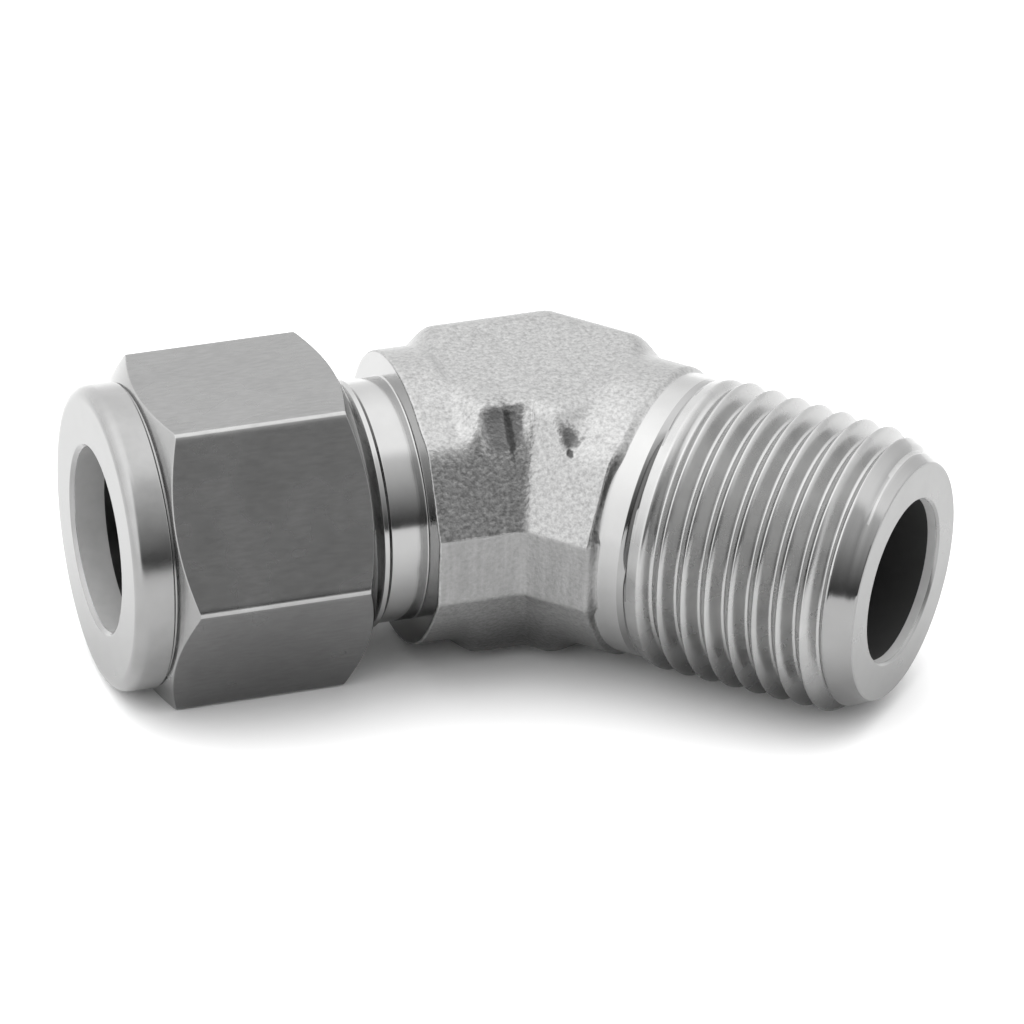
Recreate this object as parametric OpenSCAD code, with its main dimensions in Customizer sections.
// Male elbow tube fitting, 45 degree bend.
// One end takes a tube through a nut and a pair of ferrules, the other end is a
// male taper pipe thread. Millimetres. The origin is where the two centrelines
// cross. The tube end points along -X, the pipe end along +X and -Y and a
// little down, +Z is up. The nut rests on one of its flats and the elbow leans
// until its pipe thread touches the same surface.

/* [Bend] */
// Angle that the pipe end turns away from the line of the tube end
bend = 45; // [30:1:60]
// Lean of the elbow about the tube line, so that its thread rests level with the nut
lean = 2.3; // [0:0.1:6]

/* [Forging] */
// Half height across the top and bottom flats
forge_h = 10.3; // [9.8:0.1:10.5]
// Half width over the trimmed band on the sides
forge_w = 11; // [10.4:0.1:11.4]
// Half width of the top and bottom flats
forge_flat = 6.6; // [5:0.1:8]
// Half height of the trimmed band on the sides
forge_band = 2.6; // [1:0.1:4]
// Radius of the round boss on the tube side
boss_r1 = 10.65; // [10.4:0.05:11]
// Radius of the round boss on the pipe side
boss_r2 = 10.62; // [10.4:0.02:11]

/* [Tube end] */
// Radius of the socket that the tube slides into
socket_r = 6.4; // [6.36:0.01:6.42]
// Distance from the elbow's centre to the stop for the tube's end
stop_s = 9.9; // [9:0.1:11]
// Distance from the elbow's centre to the nose of the tube end
nose_s = 20.4; // [20:0.1:20.8]
// Radius of the passage between the two ends
flow_r = 5.2; // [4:0.1:5.5]
// Radius over the thread that carries the nut
nut_thread_r = 9.88; // [9.6:0.02:9.9]
// Distance from the elbow's centre to the shoulder that the neck starts at
shoulder_s = 10.8; // [10.4:0.05:11]
// Radius of the polished neck behind that thread
neck_r = 8.75; // [8.4:0.05:9]

/* [Pipe end] */
// Distance from the elbow's centre to the end face of the pipe thread
pipe_s = 29.05; // [27.5:0.05:31]
// Radius over the thread's crests at the end face
crest_r = 10.24; // [10.1:0.02:10.4]
// Distance between one thread crest and the next
pitch = 1.814; // [1.7:0.01:1.9]
// Depth of the thread
thread_h = 1.34; // [0.8:0.02:1.4]
// Radius of the bore through the pipe end
pipe_bore_r = 5.97; // [5:0.01:6.2]
// Radius of the flat end face outside its bore
end_face_r = 8.68; // [8.2:0.02:8.9]
// Angle of the chamfer at the end, from the pipe's line
end_chamfer = 28.8; // [26:0.2:34]

/* [Nut] */
// Width across the nut's flats
nut_af = 22.22; // [22.1:0.01:22.4]
// Distance from the elbow's centre to the nut's back end
nut_s = 15.3; // [15.2:0.05:15.4]
// Length of the nut
nut_l = 17.5; // [17:0.1:18]
// Radius of the round collar on the nut's front end
collar_r = 10.97; // [10.8:0.01:11.05]
// Radius of the hole that the tube passes through
nut_hole_r = 6.6; // [6.5:0.05:6.8]

/* [Ferrules] */
// Inner radius of both ferrules
ferrule_r = 6.45; // [6.42:0.01:6.48]

/* [Hidden] */
$fn = 96;
t30 = tan(30);
nut_end = nut_s + nut_l;
// inside of the nut: seat for the back ferrule, chamber, thread bore
chamber_r = 8.1;
seat_s = nut_end - 5.6;
// pipe thread: crest of each ring, the first one beside the neck
ring0 = 12.84;
rings = 9;
crest_w = 0.13;
function crest(s) = crest_r + (pipe_s - s) / 32;
flank = (pitch - 2 * crest_w) / 2;

// +Z of a child becomes the tube end's direction
module along_tube() rotate([0, -90, 0]) children();
// +Z of a child becomes the pipe end's direction
module along_pipe() rotate([0, 0, -bend]) rotate([0, 90, 0]) children();
// keeps the tube side of the mitre through the elbow's corner
module tube_side() intersection() {
    children();
    rotate([0, 0, -bend / 2]) translate([-60, -30, -30]) cube([60, 60, 60]);
}
// keeps the pipe side
module pipe_side() intersection() {
    children();
    rotate([0, 0, -bend / 2]) translate([0, -30, -30]) cube([60, 60, 60]);
}

// section of the forging, x up and y across
module forge_section() polygon([
    [forge_h, -forge_flat], [forge_band, -forge_w], [-forge_band, -forge_w],
    [-forge_h, -forge_flat], [-forge_h, forge_flat], [-forge_band, forge_w],
    [forge_band, forge_w], [forge_h, forge_flat]]);

// forged arm from behind the corner to its round boss: the section's corners
// run out on a cone, from radius ra at sa to the boss radius at sb
module forge_arm(sa, ra, sb, rb) {
    k = (sb - sa) / (ra - rb);
    intersection() {
        translate([0, 0, -7]) linear_extrude(height = sb + 7.3) forge_section();
        rotate_extrude() polygon([[0, -8], [14, -8], [14, sb - (14 - rb) * k],
            [rb - 0.3, sb + 0.3 * k], [0, sb + 0.3 * k]]);
    }
}

// turned part of the tube end: boss, shoulder, neck, nut thread, nose
module tube_turning() rotate_extrude() polygon([
    [0, 6.5], [boss_r1 - 0.9, 6.5], [boss_r1 - 0.9, 8], [boss_r1, 8],
    [boss_r1, shoulder_s - 0.15], [boss_r1 - 0.15, shoulder_s], [neck_r + 0.4, shoulder_s],
    [neck_r + 0.12, shoulder_s + 0.12], [neck_r, shoulder_s + 0.4], [neck_r, 13.4],
    [nut_thread_r, 13.4 + nut_thread_r - neck_r], [nut_thread_r, nose_s - 0.4],
    [nut_thread_r - 0.68, nose_s], [0, nose_s]]);

// turned part of the pipe end: boss, neck, thread rings, chamfered end
module pipe_turning() intersection() {
    rotate_extrude() polygon(concat(
        [[0, 5.6], [boss_r2 - 0.6, 5.6], [boss_r2 - 0.6, 6.2], [boss_r2, 6.2],
         [boss_r2, 9.45], [boss_r2 - 0.15, 9.6], [10.3, 9.65], [10.3, 11.5],
         [crest(11.93) - thread_h, 11.5 + 0.33]],
        [for (i = [0 : rings - 1], j = [0 : 3]) let (c = ring0 + i * pitch)
            j == 0 ? [crest(c) - thread_h, c - crest_w / 2 - flank] :
            j == 1 ? [crest(c), c - crest_w / 2] :
            j == 2 ? [crest(c), c + crest_w / 2] :
                     [crest(c) - thread_h, c + crest_w / 2 + flank]],
        [[crest(pipe_s) - thread_h, pipe_s], [0, pipe_s]]));
    // chamfer of the end
    rotate_extrude() polygon([[0, 5], [14, 5],
        [14, pipe_s - (14 - end_face_r) / tan(end_chamfer)], [end_face_r, pipe_s], [0, pipe_s]]);
}

module elbow_body() color("silver") rotate([lean, 0, 0]) difference() {
    union() {
        tube_side() along_tube() forge_arm(6.3, 12, 8, boss_r1 - 0.07);
        pipe_side() along_pipe() forge_arm(5.1, 11.7, 6.2, boss_r2 - 0.07);
        along_tube() tube_turning();
        along_pipe() pipe_turning();
    }
    // tube socket with the cone that the front ferrule seats in
    along_tube() {
        translate([0, 0, stop_s]) cylinder(r = socket_r, h = 20);
        translate([0, 0, nose_s - 2.8]) cylinder(r1 = socket_r, r2 = socket_r + 2 * 1.131, h = 5.6);
        // passage drilled from the tube end, with its drill point
        translate([0, 0, -1]) cylinder(r = flow_r, h = 20);
        translate([0, 0, -1 - 0.6 * flow_r]) cylinder(r1 = 0, r2 = flow_r, h = 0.6 * flow_r);
    }
    // bore drilled from the pipe end, with its drill point and broken edge
    along_pipe() {
        cylinder(r = pipe_bore_r, h = 60);
        translate([0, 0, -0.6 * pipe_bore_r]) cylinder(r1 = 0, r2 = pipe_bore_r, h = 0.6 * pipe_bore_r);
        translate([0, 0, pipe_s - 0.18]) cylinder(r1 = pipe_bore_r, r2 = pipe_bore_r + 0.36, h = 0.36);
    }
}

module nut() color("lightgray") along_tube() difference() {
    union() {
        // hexagon with both ends chamfered at 30 degrees
        intersection() {
            translate([0, 0, nut_s]) rotate([0, 0, 30])
                cylinder(r = nut_af / 2 / cos(30), h = nut_l - 2.7, $fn = 6);
            rotate_extrude() polygon([[0, nut_s], [10.92, nut_s],
                [13.2, nut_s + (13.2 - 10.92) * t30], [13.2, nut_end - 3.11 - (13.2 - 11.11) * t30],
                [10.75, nut_end - 3.11 + (11.11 - 10.75) * t30], [0, nut_end - 2.902]]);
        }
        // round collar with a rounded rim
        rotate_extrude() polygon(concat(
            [[0, nut_end - 4], [10.6, nut_end - 4], [10.6, nut_end - 2.95], [collar_r, nut_end - 2.8]],
            [for (a = [0 : 15 : 90]) [collar_r - 0.9 + 0.9 * cos(a), nut_end - 0.9 + 0.9 * sin(a)]],
            [[0, nut_end]]));
    }
    // thread bore with a chamfered mouth
    translate([0, 0, nut_s - 1]) cylinder(r = nut_thread_r + 0.1, h = 7.1);
    translate([0, 0, nut_s - 0.3]) cylinder(r1 = nut_thread_r + 0.92, r2 = nut_thread_r + 0.02, h = 0.9);
    // step down to the chamber of the ferrules, the chamber and their seat
    translate([0, 0, nut_s + 6.1]) cylinder(r1 = nut_thread_r + 0.1, r2 = chamber_r, h = 1.9);
    translate([0, 0, nut_s + 7.9]) cylinder(r = chamber_r, h = seat_s - nut_s - 7.9 - (chamber_r - nut_hole_r));
    translate([0, 0, seat_s - (chamber_r - nut_hole_r)])
        cylinder(r1 = chamber_r, r2 = nut_hole_r, h = chamber_r - nut_hole_r);
    // hole for the tube, with a broken edge
    translate([0, 0, seat_s - 1]) cylinder(r = nut_hole_r, h = 20);
    translate([0, 0, nut_end - 0.28]) cylinder(r1 = nut_hole_r, r2 = nut_hole_r + 0.56, h = 0.56);
}

// front ferrule: long cone that seats in the body, recess behind for the back one
module front_ferrule() color("gainsboro") along_tube() rotate_extrude() polygon([
    [ferrule_r, 18.45], [6.68, 18.45], [7.42, 20.4], [7.85, 21.5], [7.85, 23.05],
    [7.7, 23.2], [7.5, 23.2], [6.9, 22.6], [ferrule_r, 22.6]]);

// back ferrule: short nose in that recess, sloped back against the nut's seat
module back_ferrule() color("darkgray") along_tube() rotate_extrude() polygon([
    [ferrule_r, 22.68], [6.86, 22.68], [7.3, 23.12], [7.3, 23.5], [7.6, 23.8],
    [7.6, 26.05], [7.35, 26.3], [ferrule_r, 26.3]]);

elbow_body();
nut();
front_ferrule();
back_ferrule();
